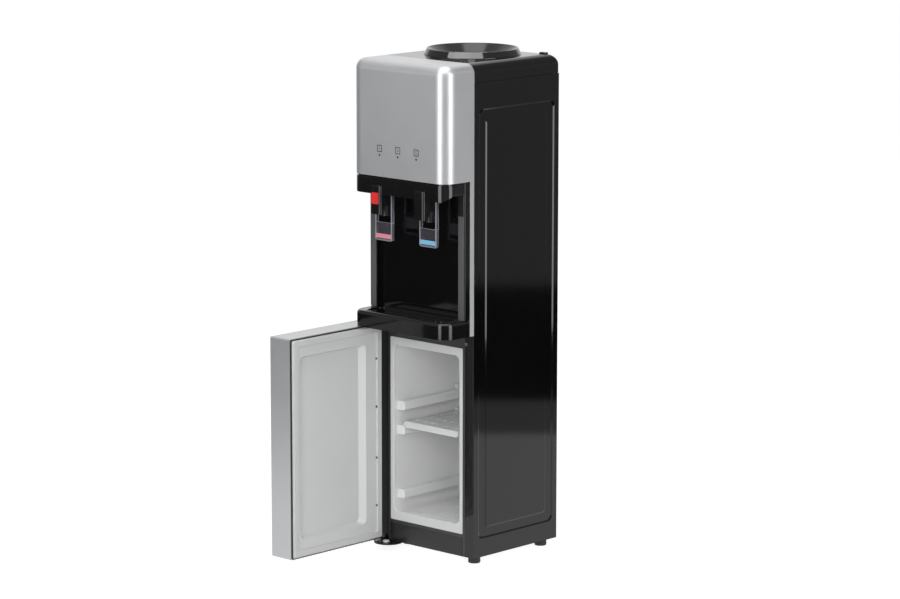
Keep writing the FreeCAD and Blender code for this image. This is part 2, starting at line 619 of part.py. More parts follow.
def head():
    save("head_cover", head_cover())
    save("indicator_lenses", *indicator_lenses())
    save("indicator_board", indicator_board())
    save("top_cover", top_cover())
    save("top_plug", top_plug())
    save("bottle_collar", bottle_collar())


# ---- dispensing recess ----

def recess_rim(z0, z1):
    """Right rim of the recess: inner wall, front face, outer side and a hidden leg."""
    inner, back = HALF - RIM_WIDE, -STRIP_DEEP - GAP

    def outer_corner(edge, centre):
        return runs_along(edge, Z_AXIS) and centre.x > HALF - 1 and centre.y < RIM_FRONT + 1

    def inner_corner(edge, centre):
        return runs_along(edge, Z_AXIS) and centre.x < inner + 1 and centre.y < RIM_FRONT + 1

    def room_corner(edge, centre):
        return runs_along(edge, Z_AXIS) and centre.x > HALF - 4 and centre.y < back
    outer = round_edges(box(inner, HALF, RIM_FRONT, back, z0, z1), RIM_R, outer_corner)
    outer = round_edges(outer, 2.0, inner_corner)
    room = box(inner + WALL, HALF - WALL, RIM_FRONT + WALL, 5, z0 - 1, z1 + 1)
    room = round_edges(room, RIM_R - WALL, room_corner)
    leg_x = HALF - WALL - 0.3
    leg = box(leg_x - WALL, leg_x, back - 3, -0.3, z0, z1)
    link = box(leg_x - WALL, HALF - 1, back - 3, back, z0, z1)
    return fuse(outer.cut(room), leg, link)


def recess_liner():
    """Glossy recess: a back wall between two rims."""
    z0 = TRAY_HIGH + GAP
    edge = HALF - RIM_WIDE + WALL / 2
    back = box(-edge, edge, RECESS_BACK, RECESS_BACK + WALL, z0, HEAD_LOW - GAP)
    rim = recess_rim(z0, HEAD_LOW - GAP)
    return fuse(back, rim, mirrored(rim))


def fascia_rise():
    """What is cut away under the fascia so that its lower edge climbs round the corners."""
    low, high = FASCIA_LOW - 1, FASCIA_LOW + FASCIA_RISE
    start, end = FASCIA_RISE_YS
    outline = [(start, low), (start, FASCIA_LOW), (end, high), (0, high), (0, low)]
    points = [V(-HALF - 1, y, z) for y, z in outline]
    return Part.Face(Part.makePolygon(points + points[:1])).extrude(V(2 * HALF + 2, 0, 0))


def tap_fascia():
    """Glossy band under the head, in front of the rims. A ceiling inside it carries the taps."""
    back = RIM_FRONT - GAP
    room = nose(FASCIA_WALL, 0, FASCIA_LOW - 1, FASCIA_HIGH + 1)
    high = FASCIA_LOW + FASCIA_RISE

    def side_edge(edge, centre):
        return level_edge(edge, high) and abs(centre.x) > HALF - 0.01 and centre.y < back
    band = cut(nose(0, back, FASCIA_LOW, FASCIA_HIGH), room, fascia_rise())
    band = round_edges(band, FASCIA_EDGE_R, side_edge)
    top = CEILING_LOW + CEILING_THICK
    ceiling = nose(FASCIA_WALL - 0.1, back, CEILING_LOW, top)
    edge = HALF - RIM_WIDE - GAP
    tail = box(-edge, edge, back - 1, RECESS_BACK - GAP, CEILING_LOW, top)
    neck = nose(WALL + 0.4, back, FASCIA_HIGH - 3, HEAD_LOW + 3)
    neck = neck.cut(nose(WALL + 2.4, 0, FASCIA_HIGH - 4, HEAD_LOW + 4))
    holes = [post(x, SPOUT_Y, CEILING_LOW - 1, top + 1, 6.5) for x in (-TAP_X, TAP_X)]
    return cut(fuse(band, ceiling, tail, neck), *holes)


def cap_block(x, grow):
    """A tap's front in plan, with rounded front corners."""
    block = box(x - CAP_HALF - grow, x + CAP_HALF + grow, CAP_FRONT - grow, CAP_BACK, CAP_LOW, CAP_HIGH)

    def front_corner(edge, centre):
        return runs_along(edge, Z_AXIS) and centre.y < CAP_FRONT + 1
    return round_edges(block, CAP_R + grow, front_corner)


def tap_cap(x):
    """Glossy front of a tap. Its upper end laps over the fascia."""
    body = cap_block(x, 0)
    body = round_edges(body, 1.2, lambda e, c: level_edge(e, CAP_HIGH) and c.y < CAP_BACK - 1)
    over = box(x - 40, x + 40, HEAD_FRONT - GAP, CAP_BACK + 1, FASCIA_LOW - 0.5, CAP_HIGH + 5)
    return body.cut(over)


def button_well():
    return rounded(Y_AXIS, 2.2, -CAP_X - BUTTON_HALF - GAP, -CAP_X + BUTTON_HALF + GAP,
                   CAP_FRONT - 1, BUTTON_BACK + BUTTON_TRAVEL + 0.3, BUTTON_LOW - GAP, BUTTON_HIGH + GAP)


def child_lock_button():
    """Red button that follows the rounding of the hot tap's cap."""
    face = rounded(Y_AXIS, 2.0, -CAP_X - BUTTON_HALF, -CAP_X + BUTTON_HALF, CAP_FRONT - 5, BUTTON_BACK,
                   BUTTON_LOW, BUTTON_HIGH)
    return cap_block(-CAP_X, BUTTON_PROUD).common(face)


def tap_valve(x):
    """Black valve body behind the cap, with the spout below it and the hose tail above."""
    block = rounded(Z_AXIS, 2.0, x - 9, x + 9, CAP_BACK, SPOUT_Y + 9, VALVE_LOW, CEILING_LOW)
    spout = post(x, SPOUT_Y, SPOUT_LOW, VALVE_LOW + 4, SPOUT_R)
    tail = post(x, SPOUT_Y, CEILING_LOW - 4, TAIL_TOP, 6.4)
    bore = post(x, SPOUT_Y, SPOUT_LOW - 1, SPOUT_LOW + 19, 5.0)
    return cut(fuse(block, spout, tail), bore, rod_x(PIVOT_Y, PIVOT_Z, x - 30, x + 30, PIVOT_R))


def paddle_plate(x, inset, y0, y1, z1):
    """The paddle's outline with its two lower corners rounded."""
    low = PADDLE_LOW + inset
    block = box(x - PADDLE_HALF + inset, x + PADDLE_HALF - inset, y0, y1, low, z1)

    def bottom_corner(edge, centre):
        return runs_along(edge, Y_AXIS) and centre.z < low + 1
    return round_edges(block, PADDLE_CORNER - inset, bottom_corner)


def paddle(x):
    """Clear lever: a plate with a turned-back rim, hung from two arms beside the spout."""
    body = paddle_plate(x, 0, PADDLE_FRONT, PADDLE_BACK, PIVOT_Z)
    hollow = paddle_plate(x, PADDLE_ARM, PADDLE_FRONT + PADDLE_SKIN, PADDLE_BACK + 1, PIVOT_Z + 9)
    inside = PADDLE_HALF - PADDLE_ARM
    window = box(x - inside, x + inside, PADDLE_FRONT - 1, PADDLE_BACK + 1, PADDLE_BAR, PIVOT_Z + 9)
    eyes = [rod_x(PIVOT_Y, PIVOT_Z, x0, x0 + PADDLE_ARM, 4.5)
            for x0 in (x - PADDLE_HALF, x + inside)]
    pin = rod_x(PIVOT_Y, PIVOT_Z, x - 40, x + 40, PIVOT_R + 0.05)
    return fuse(cut(body, hollow, window), *eyes).cut(pin)


def paddle_stripe(x):
    return rounded(Y_AXIS, 1.5, x - STRIPE_HALF, x + STRIPE_HALF, PADDLE_FRONT - STRIPE_THICK,
                   PADDLE_FRONT, STRIPE_LOW, STRIPE_HIGH)


def paddle_pivot(x):
    return rod_x(PIVOT_Y, PIVOT_Z, x - PADDLE_HALF - 1, x + PADDLE_HALF + 1, PIVOT_R)


def tray_well(inset, z0, z1):
    return rounded(Z_AXIS, TRAY_R - inset, -TRAY_HALF + inset, TRAY_HALF - inset,
                   TRAY_Y0 + inset, TRAY_Y1 - inset, z0, z1)


def tray_base():
    """Glossy housing of the drip tray, rounded like the head above it."""
    z0, back = STRIP_LOW + GAP, -STRIP_DEEP - GAP

    def rim(edge, centre):
        return level_edge(edge, TRAY_HIGH) and centre.y < back - 0.5
    block = round_edges(nose(0, back, z0, TRAY_HIGH), 7.0, rim)
    edge = HALF - WALL - 0.3
    tail = box(-edge, edge, back - 1, -0.3, z0, TRAY_HIGH)
    x0, x1, y0, y1 = UPPER_PLATE
    plate_room = rounded(Z_AXIS, 4, x0 - 0.3, x1 + 0.3, y0 - 0.3, y1 + 0.3, z0 - 1, STRIP_LOW + 4.2)
    return cut(fuse(block, tail), tray_well(0, z0 + 8, TRAY_HIGH + 1), plate_room)


def drip_tray():
    """Removable tray with a ledge for the grid and a lip that frames it."""
    z0, ledge = STRIP_LOW + GAP + 8.3, TRAY_HIGH - LEDGE_DROP
    outer = tray_well(TRAY_PLAY, z0, TRAY_HIGH + 1)
    return cut(outer, tray_well(TRAY_PLAY + 2.5, ledge, TRAY_HIGH + 2),
               tray_well(TRAY_PLAY + 4, z0 + 2, TRAY_HIGH + 2))


def drip_grid():
    """Slotted grid that lies on the tray's ledge."""
    z0 = TRAY_HIGH - LEDGE_DROP + 0.3
    slots = []
    for row in range(4):
        y = -67.5 + 11 * row
        for column in range(8):
            x = -91 + 26 * column
            slots.append(rounded(Z_AXIS, 1.9, x - 10.5, x + 10.5, y - 2, y + 2, z0 - 1, z0 + 9))
    return cut(tray_well(TRAY_PLAY + 3, z0, z0 + 3), *slots)


def recess():
    save("recess_liner", recess_liner())
    save("tap_fascia", tap_fascia())
    save("tap_cap_hot", tap_cap(-CAP_X).cut(button_well()))
    save("tap_cap_cold", tap_cap(CAP_X))
    save("child_lock_button", child_lock_button())
    save("tap_valves", tap_valve(-TAP_X), tap_valve(TAP_X))
    save("paddle_pivots", paddle_pivot(-TAP_X), paddle_pivot(TAP_X))
    for name, x in (("hot", -TAP_X), ("cold", TAP_X)):
        save("paddle_" + name, paddle(x))
        save("paddle_stripe_" + name, paddle_stripe(x))
    save("tray_base", tray_base())
    save("drip_tray", drip_tray())
    save("drip_grid", drip_grid())


# ---- tanks, hoses and machine ----

def evaporator_sleeve(low=900.0, high=1010.0, turns=8):
    """Thin sleeve round the cold tank with the rounded turns of its cooling coil."""
    r, wire, pitch = TANK_R + 0.1, 3.0, (high - low) / turns
    sleeve = turned([(r, low), (r + 0.8, low), (r + 0.8, high), (r, high)], 0, COLLAR_Y)
    rings = [Part.makeTorus(r + 0.8, wire, V(0, COLLAR_Y, low + pitch * (n + 0.5)), Z_AXIS)
             for n in range(turns)]
    return fuse(sleeve, *rings).cut(post(0, COLLAR_Y, low - 5, high + 5, r))


def cold_tank():
    """Thin tank whose lid opens round the collar's throat, with an outlet in its floor."""
    r, low, high, neck = TANK_R, TANK_LOW, TANK_HIGH, NECK_R + 3.5
    outside = [(0, low), (r - 6, low), (r, low + 6), (r, high), (r + 4, high), (r + 4, high + 1.5)]
    inside = [(neck, high + 1.5), (neck, high), (r - 1, high), (r - 1, low + 7), (r - 7, low + 1),
              (0, low + 1)]
    stem = post(OUTLET_X, OUTLET_Y, CUP_LOW - 2, low + 3, 5.0)
    bore = post(OUTLET_X, OUTLET_Y, CUP_LOW - 3, low + 5, HOSE_BORE)
    return fuse(turned(outside + inside, 0, COLLAR_Y), stem).cut(bore)


def tank_insulation():
    r = TANK_R + 5
    cup = turned([(0, CUP_LOW), (CUP_R, CUP_LOW), (CUP_R, CUP_HIGH), (r, CUP_HIGH),
                  (r, TANK_LOW - 3), (0, TANK_LOW - 3)], 0, COLLAR_Y)
    return cup.cut(post(OUTLET_X, OUTLET_Y, CUP_LOW - 1, TANK_LOW, 5.2))


def hot_tank():
    """Small steel boiler on three legs, with its outlet on top."""
    x, y, wall = HOT_X, HOT_Y, 1.5

    def can(r, low, high):
        return turned([(0, low), (r - 8, low), (r, low + 8), (r, high - 10), (r - 10, high), (0, high)],
                      x, y)
    legs = []
    for turn in (30, 150, 270):
        turn = math.radians(turn)
        legs.append(post(x + 30 * math.cos(turn), y + 30 * math.sin(turn),
                         DECK_Z + DECK_THICK, HOT_LOW + 1, 4))
    stem = post(x, y - 18, HOT_HIGH - 1, HOT_HIGH + 12, 5.0)
    bore = post(x, y - 18, HOT_HIGH - 5, HOT_HIGH + 13, HOSE_BORE)
    inside = can(HOT_R - wall, HOT_LOW + wall, HOT_HIGH - wall)
    return cut(fuse(can(HOT_R, HOT_LOW, HOT_HIGH), stem, *legs), inside, bore)


def heater_band():
    low, r = HOT_LOW + 30, HOT_R + 0.1
    return turned([(r, low), (r + 3, low), (r + 3, low + 45), (r, low + 45)], HOT_X, HOT_Y)


def hoses():
    """Each hose leaves its tank and comes down to its tap from inside the head."""
    cold = [(OUTLET_X, OUTLET_Y, CUP_LOW - 2), (OUTLET_X, OUTLET_Y, HOSE_Z), (TAP_X, -20, HOSE_Z),
            (TAP_X, SPOUT_Y, HOSE_Z), (TAP_X, SPOUT_Y, TAIL_TOP)]
    hot = [(HOT_X, HOT_Y - 18, HOT_HIGH + 12), (HOT_X, HOT_Y - 18, HOSE_Z), (-TAP_X, 15, HOSE_Z),
           (-TAP_X, SPOUT_Y, HOSE_Z), (-TAP_X, SPOUT_Y, TAIL_TOP)]
    save("cold_hose", tube(cold, HOSE_R, HOSE_BEND, HOSE_BORE))
    save("hot_hose", tube(hot, HOSE_R, HOSE_BEND, HOSE_BORE))


def compressor():
    """Domed pot with a weld seam on a foot plate, held by four rubber grommets."""
    x, y, r = COMPRESSOR_X, COMPRESSOR_Y, COMPRESSOR_R
    foot_z, top = DECK_Z + 15, DECK_Z + 15 + COMPRESSOR_HIGH
    pot = round_edges(post(x, y, foot_z + 3, top, r), 24.0, lambda e, c: c.z > top - 1)
    seam = Part.makeTorus(r + 0.5, 2.5, V(x, y, foot_z + 78), Z_AXIS)
    foot = rounded(Z_AXIS, 8, x - 66, x + 66, y - 48, y + 48, foot_z, foot_z + 3.5)
    cap = rounded(Y_AXIS, 4, x - 22, x + 22, y - r - 18, y - r + 6, foot_z + 30, foot_z + 75)
    corners = [(x + sx * 56, y + sy * 38) for sx in (-1, 1) for sy in (-1, 1)]
    holes = [post(a, b, foot_z - 5, foot_z + 9, 5.0) for a, b in corners]
    save("compressor", cut(fuse(pot, seam, foot, cap), *holes))
    z0 = DECK_Z + DECK_THICK
    outline = [(0, z0), (10, z0), (8, foot_z), (4.8, foot_z), (4.8, foot_z + 6), (0, foot_z + 6)]
    save("compressor_grommets", *[turned(outline, a, b) for a, b in corners])


def condenser():
    """Serpentine tube with welded upright wires, on four brackets behind the back panel."""
    points = []
    for row in range(COIL_ROWS):
        side = 1 if row % 2 else -1
        z = COIL_LOW + row * COIL_PITCH
        points += [(side * COIL_HALF, COIL_Y, z), (-side * COIL_HALF, COIL_Y, z)]
    serpentine = tube(points, COIL_R, COIL_PITCH / 2 - 0.01)
    wire_y = COIL_Y - COIL_R - WIRE_R + 0.1
    wire_top = COIL_LOW + (COIL_ROWS - 1) * COIL_PITCH + 6
    wires = [post(-84 + 12 * n, wire_y, COIL_LOW - 6, wire_top, WIRE_R) for n in range(15)]
    brackets = [box(x - 5, x + 5, DEPTH, wire_y, z - 6, z + 6)
                for x in (-84, 84) for z in (131, 403)]
    save("condenser", fuse(serpentine, *wires, *brackets))


def switch_housing():
    """Bezel and tub in the back panel, with holes for the rockers' trunnions."""
    y, wall = DEPTH, 2.5
    x0, x1 = SWITCH_X0 + 5, SWITCH_X1 - 5
    low, high = SWITCH_LOW + 5, SWITCH_HIGH - 5
    bezel = box(SWITCH_X0, SWITCH_X1, y, y + 3, SWITCH_LOW, SWITCH_HIGH)
    tub = box(x0 - wall, x1 + wall, y - 24, y, low - 0.5, high + 0.5)
    shell = fuse(bezel, tub).cut(box(x0, x1, y - 21, y + 5, low, high))
    middle = (low + high) / 2
    bar = box(x0 - 1, x1 + 1, y - 22, y + 3, middle - 1.5, middle + 1.5)
    pivots = [rod_x(ROCKER_AXIS_Y, z, x0 - 2, x1 + 2, 1.55) for name, z in ROCKER_ZS]
    return cut(fuse(shell, bar), *pivots)


def rocker(z):
    """Rocker with a hollowed face, tipped towards its lower end, on two trunnions."""
    x0, x1 = SWITCH_X0 + 5.5, SWITCH_X1 - 5.5
    y = ROCKER_AXIS_Y
    drum = rod_x(y, z, x0, x1, ROCKER_R + 1.6).common(box(x0, x1, y - 3, y + 10.2, z - 20, z + 20))
    dip = rod_x(y + 36.5, z + 6, x0 - 1, x1 + 1, 30)
    trunnions = rod_x(y, z, x0 - 1.8, x1 + 1.8, 1.5)
    return fuse(drum.cut(dip), trunnions)


def cord_gland():
    """Flanged bush in the back panel that the mains lead would pass through."""
    bore, stem = GLAND_BORE, GLAND_R
    gland = turned([(bore, 0), (stem, 0), (stem, 6), (11, 6), (11, 9), (7, 17), (bore, 17)], 0, 0)
    gland.rotate(V(0, 0, 0), X_AXIS, -90)
    gland.translate(V(GLAND_X, DEPTH - 6, GLAND_Z))
    return gland


def drain_fitting():
    stem = rod_y(0, DRAIN_Z, DEPTH - 4, DEPTH + 8, DRAIN_R)
    flange = rod_y(0, DRAIN_Z, DEPTH, DEPTH + 3, 14)
    cap = round_edges(rod_y(0, DRAIN_Z, DEPTH + 3, DEPTH + 16, 12), 2.0, lambda e, c: c.y > DEPTH + 15)
    return fuse(stem, flange, cap)


def machine():
    save("cold_tank", cold_tank())
    save("evaporator_sleeve", evaporator_sleeve())
    save("tank_insulation", tank_insulation())
    save("hot_tank", hot_tank())
    save("heater_band", heater_band())
    hoses()
    save("equipment_deck", box(-INSIDE, INSIDE, FRAME_DEEP + GAP, DEPTH - 2.7, DECK_Z, DECK_Z + DECK_THICK))
    compressor()
    condenser()
    save("switch_housing", switch_housing())
    for name, z in ROCKER_ZS:
        save(name, rocker(z))
    save("cord_gland", cord_gland())
    save("drain_fitting", drain_fitting())


os.makedirs("parts", exist_ok=True)
body()
cabinet()
door()
head()
recess()
machine()
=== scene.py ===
"""Looks of a free-standing hot and cold water dispenser with its cabinet door open.

Metres, +Z up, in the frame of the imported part: x = 0 is the centreline, y = 0 the cabinet's front plane
and z = 0 the floor. The pieces from the frame get their finishes here, and small details are added.
"""

import math

import bmesh
import bpy
from mathutils import Matrix, Vector


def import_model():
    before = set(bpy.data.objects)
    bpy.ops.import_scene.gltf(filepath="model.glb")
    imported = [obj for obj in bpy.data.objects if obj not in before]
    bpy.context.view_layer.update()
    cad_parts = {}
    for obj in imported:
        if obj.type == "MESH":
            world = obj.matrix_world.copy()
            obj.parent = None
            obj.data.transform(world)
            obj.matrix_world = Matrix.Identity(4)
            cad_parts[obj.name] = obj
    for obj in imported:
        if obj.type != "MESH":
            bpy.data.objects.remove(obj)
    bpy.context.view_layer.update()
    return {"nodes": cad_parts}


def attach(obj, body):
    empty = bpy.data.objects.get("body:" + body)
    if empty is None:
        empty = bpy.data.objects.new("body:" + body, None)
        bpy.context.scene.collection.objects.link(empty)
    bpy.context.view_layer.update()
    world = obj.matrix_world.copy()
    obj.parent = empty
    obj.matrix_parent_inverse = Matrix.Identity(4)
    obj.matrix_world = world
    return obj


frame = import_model()
NODES = frame["nodes"]
MM = 0.001

# ---- camera: fitted to the photograph's edges ----
CAMERA_AT = (5.27687, -5.57438, 1.94346)
CAMERA_YAW, CAMERA_PITCH, CAMERA_ROLL = 43.047, -10.144, 0.043
CAMERA_LENS, SENSOR, CAMERA_REACH = 144.563, 36.0, 100

# ---- studio, in metres ----
FLOOR_HALF = 30.0
FLOOR_GREY, FLOOR_SEEN_GREY, FLOOR_SEEN_GLOW = 0.86, 0.42, 0.84
FLOOR_RINGS = (              # radius, glow when mirrored
    (0.0, 1.0), (1.42, 1.0), (1.48, 0.37), (1.83, 0.37), (1.90, 0.02),
)
WALL_AT, WALL_R, WALL_LOW, WALL_HIGH, WALL_STEPS = (-0.907, -0.971), 4.9, 0.01, 7.0, 96
WALL_GLOW = 0.28
BACKDROP_AZIMUTH, BACKDROP_HALF_WIDTH = 223.0, 38.0
WORLD_GLOW, WORLD_TINT = 0.40, (0.97, 0.985, 1.0)
LIGHT_AIM = (0.0, 0.0, 1.05)
SOFTBOXES = (                # name, azimuth, elevation, distance, width, height, glow, what it lights
    ("front_strip", 1.0, 4.0, 2.5, 1.12, 2.4, 4.2, "glossy"),
    ("right_strip", 87.0, 4.0, 2.5, 1.12, 2.4, 4.2, "glossy"),
    ("key", 23.0, 52.0, 4.0, 6.0, 1.30, 3.4, "glossy"),
    ("overhead", 0.0, 89.0, 2.6, 2.2, 2.2, 2.6, "both"),
    ("key_fill", 25.0, 50.0, 4.0, 2.6, 1.2, 3.0, "diffuse"),
    ("right_fill", 137.0, 2.0, 5.0, 2.6, 0.9, 8.6, "glossy"),
    ("left_fill", -43.0, 2.0, 6.0, 2.4, 1.0, 0.6, "both"),
    ("camera_fill", 39.0, 8.0, 5.0, 4.0, 3.0, 3.7, "diffuse"),
)


# ---- textures that several finishes share ----

BROAD = (7.0, 4.0)                # scale per metre and detail of slow shifts of colour
SCUFFS = (60.0, 6.0, 0.65)        # scale, detail and roughness of uneven gloss
FLAKES, FLAKE_SHARE = 2600.0, 0.10
PEEL_DEPTH = 0.012 * MM


# ---- shader helpers ----

class Shader:
    """Builds one node material. Coordinates are object coordinates, which are metres in the part's frame."""

    def __init__(self, name):
        self.material = bpy.data.materials.new(name)
        self.material.use_nodes = True
        self.tree = self.material.node_tree
        self.tree.nodes.clear()
        self.output = self.add("ShaderNodeOutputMaterial")
        self.coords = self.add("ShaderNodeTexCoord").outputs["Object"]

    def add(self, kind, **settings):
        node = self.tree.nodes.new(kind)
        for key, value in settings.items():
            setattr(node, key, value)
        return node

    def link(self, source, target):
        self.tree.links.new(source, target)

    def principled(self, **values):
        node = self.add("ShaderNodeBsdfPrincipled")
        for key, value in values.items():
            node.inputs[key.replace("_", " ")].default_value = value
        self.link(node.outputs[0], self.output.inputs[0])
        return node

    def stretched(self, scale):
        """Object coordinates with a scale of their own along each axis."""
        mapping = self.add("ShaderNodeMapping")
        mapping.inputs["Scale"].default_value = scale
        self.link(self.coords, mapping.inputs["Vector"])
        return mapping.outputs[0]

    def noise(self, scale, detail=3.0, rough=0.5, vector=None):
        node = self.add("ShaderNodeTexNoise")
        node.inputs["Scale"].default_value = scale
        node.inputs["Detail"].default_value = detail
        node.inputs["Roughness"].default_value = rough
        self.link(vector or self.coords, node.inputs["Vector"])
        return node.outputs["Fac"]

    def cells(self, scale, output="Distance"):
        node = self.add("ShaderNodeTexVoronoi")
        node.inputs["Scale"].default_value = scale
        self.link(self.coords, node.inputs["Vector"])
        return node.outputs[output]

    def remap(self, value, low, high, start=0.3, end=0.7):
        node = self.add("ShaderNodeMapRange")
        node.inputs["From Min"].default_value = start
        node.inputs["From Max"].default_value = end
        node.inputs["To Min"].default_value = low
        node.inputs["To Max"].default_value = high
        self.link(value, node.inputs["Value"])
        return node.outputs[0]

    def ramp(self, value, dark, light, start=0.3, end=0.7):
        node = self.add("ShaderNodeValToRGB")
        node.color_ramp.elements[0].position = start
        node.color_ramp.elements[1].position = end
        node.color_ramp.elements[0].color = (*dark, 1)
        node.color_ramp.elements[1].color = (*light, 1)
        self.link(value, node.inputs[0])
        return node.outputs[0]

    def bump(self, height, depth, normal=None):
        node = self.add("ShaderNodeBump")
        node.inputs["Strength"].default_value = 1.0
        node.inputs["Distance"].default_value = depth
        self.link(height, node.inputs["Height"])
        if normal is not None:
            self.link(normal, node.inputs["Normal"])
        return node.outputs[0]

    def math(self, operation, a, b=0.0):
        node = self.add("ShaderNodeMath", operation=operation)
        for socket, value in zip(node.inputs, (a, b)):
            if isinstance(value, (int, float)):
                socket.default_value = value
            else:
                self.link(value, socket)
        return node.outputs[0]


def shade(colour, factor):
    """The colour made darker or lighter."""
    return tuple(min(1.0, c * factor) for c in colour)


def moulded(name, colour, rough, spread=0.04, variation=0.06, grain=900.0, grain_depth=0.00001,
            wave_depth=0.0):
    """Moulded plastic: faint shifts of colour, uneven gloss, a fine grain and a slow waviness."""
    s = Shader(name)
    body = s.principled()
    broad = s.noise(*BROAD)
    s.link(s.ramp(broad, shade(colour, 1 - variation), shade(colour, 1 + variation)),
           body.inputs["Base Color"])
    scuffs = s.noise(*SCUFFS)
    s.link(s.remap(scuffs, rough - spread / 2, rough + spread / 2), body.inputs["Roughness"])
    normal = s.bump(s.noise(grain, 2.0), grain_depth)
    if wave_depth:
        normal = s.bump(s.noise(14.0, 1.0), wave_depth, normal=normal)
    s.link(normal, body.inputs["Normal"])
    return s.material


def metallic_paint(name, colour, rough):
    """Silver paint: tiny bright flakes in a clear binder, with a slight orange peel."""
    s = Shader(name)
    body = s.principled(Metallic=0.75, Coat_Weight=0.12, Coat_Roughness=0.3)
    flakes = s.cells(FLAKES, "Color")
    broad = s.ramp(s.noise(5.0, 3.0), shade(colour, 0.975), shade(colour, 1.025))
    mix = s.add("ShaderNodeMix", data_type="RGBA", blend_type="OVERLAY")
    mix.inputs["Factor"].default_value = FLAKE_SHARE
    s.link(broad, mix.inputs["A"])
    grey = s.add("ShaderNodeRGBToBW")
    s.link(flakes, grey.inputs[0])
    s.link(grey.outputs[0], mix.inputs["B"])
    s.link(mix.outputs["Result"], body.inputs["Base Color"])
    s.link(s.remap(s.noise(45.0, 4.0), rough - 0.02, rough + 0.02), body.inputs["Roughness"])
    s.link(s.bump(s.noise(260.0, 1.0), PEEL_DEPTH), body.inputs["Normal"])
    return s.material


def steel(name, colour, rough, grain_scale=(60, 900, 900), depth=0.000004):
    """Zinc plated or stainless steel with a directional grain."""
    s = Shader(name)
    body = s.principled(Metallic=1.0)
    streaks = s.noise(1.0, 5.0, 0.6, s.stretched(grain_scale))
    s.link(s.ramp(streaks, shade(colour, 0.85), shade(colour, 1.12)), body.inputs["Base Color"])
    s.link(s.remap(streaks, rough - 0.06, rough + 0.06), body.inputs["Roughness"])
    s.link(s.bump(streaks, depth), body.inputs["Normal"])
    return s.material


def galvanised(name, colour):
    """Hot dipped sheet with large soft spangles."""
    s = Shader(name)
    body = s.principled(Metallic=0.85)
    spangle = s.add("ShaderNodeRGBToBW")
    s.link(s.cells(90.0, "Color"), spangle.inputs[0])
    s.link(s.ramp(spangle.outputs[0], shade(colour, 0.82), shade(colour, 1.12), 0.1, 0.9),
           body.inputs["Base Color"])
    s.link(s.remap(spangle.outputs[0], 0.34, 0.5, 0, 1), body.inputs["Roughness"])
    s.link(s.bump(s.noise(400.0, 3.0), 0.000008), body.inputs["Normal"])
    return s.material


def foam(name, colour):
    s = Shader(name)
    body = s.principled(Specular_IOR_Level=0.2, Roughness=0.9)
    pores = s.cells(420.0, "Distance")
    # painted shade: the pores' hollow centres are painted 0.72 times darker
    s.link(s.ramp(pores, shade(colour, 0.72), colour, 0.05, 0.5), body.inputs["Base Color"])
    s.link(s.bump(pores, 0.0006), body.inputs["Normal"])
    return s.material


def copper(name, colour):
    s = Shader(name)
    body = s.principled(Metallic=1.0)
    stain = s.noise(35.0, 6.0, 0.7)
    s.link(s.ramp(stain, shade(colour, 0.55), colour), body.inputs["Base Color"])
    s.link(s.remap(stain, 0.45, 0.25), body.inputs["Roughness"])
    s.link(s.bump(s.noise(300.0), 0.00001), body.inputs["Normal"])
    return s.material


def recess_plastic(name):
    """Mirror black, with a duller grey face on the front of its two rims; above a set height that face is
    painted black and glossy again, a painted shade under the fascia.
    """
    s = Shader(name)
    split = s.add("ShaderNodeSeparateXYZ")
    s.link(s.coords, split.inputs[0])
    front = s.remap(split.outputs["Y"], 1.0, 0.0, RIM_FACE + 0.1 * MM, RIM_FACE + 0.4 * MM)
    # painted shade: above the set height the rims' front face fades back to glossy black, where the fascia
    # shades it
    below = s.remap(split.outputs["Z"], 1.0, 0.15, RIM_SHADE_EDGE, RIM_SHADE_EDGE + 2 * MM)
    flat = s.math("MULTIPLY", front, below)
    body = s.principled()
    s.link(s.ramp(flat, RECESS_BLACK, RIM_GREY, 0.0, 1.0), body.inputs["Base Color"])
    uneven = s.remap(s.noise(60.0, 5.0), -0.02, 0.02)
    s.link(s.math("ADD", s.remap(flat, 0.07, 0.5, 0.0, 1.0), uneven), body.inputs["Roughness"])
    s.link(s.remap(flat, 0.5, 0.15, 0.0, 1.0), body.inputs["Specular IOR Level"])
    s.link(s.bump(s.noise(900.0, 2.0), 0.000004), body.inputs["Normal"])
    return s.material


def collar_plastic(name):
    """Glossy black collar with a harder shine outside than in the funnel."""
    s = Shader(name)
    from_axis = s.add("ShaderNodeVectorMath", operation="DISTANCE")
    s.link(s.stretched((1, 1, 0)), from_axis.inputs[0])
    from_axis.inputs[1].default_value = COLLAR_AXIS
    outside = s.remap(from_axis.outputs["Value"], 0.0, 1.0, COLLAR_RIM - 0.5 * MM, COLLAR_RIM + 0.5 * MM)
    body = s.principled()
    s.link(s.ramp(s.noise(*BROAD), shade(BLACK, 0.9), shade(BLACK, 1.1)), body.inputs["Base Color"])
    s.link(s.remap(outside, 0.14, 0.07, 0.0, 1.0), body.inputs["Roughness"])
    s.link(s.remap(outside, 0.4, 1.0, 0.0, 1.0), body.inputs["Specular IOR Level"])
    s.link(s.bump(s.noise(900.0, 2.0), 0.000002), body.inputs["Normal"])
    return s.material


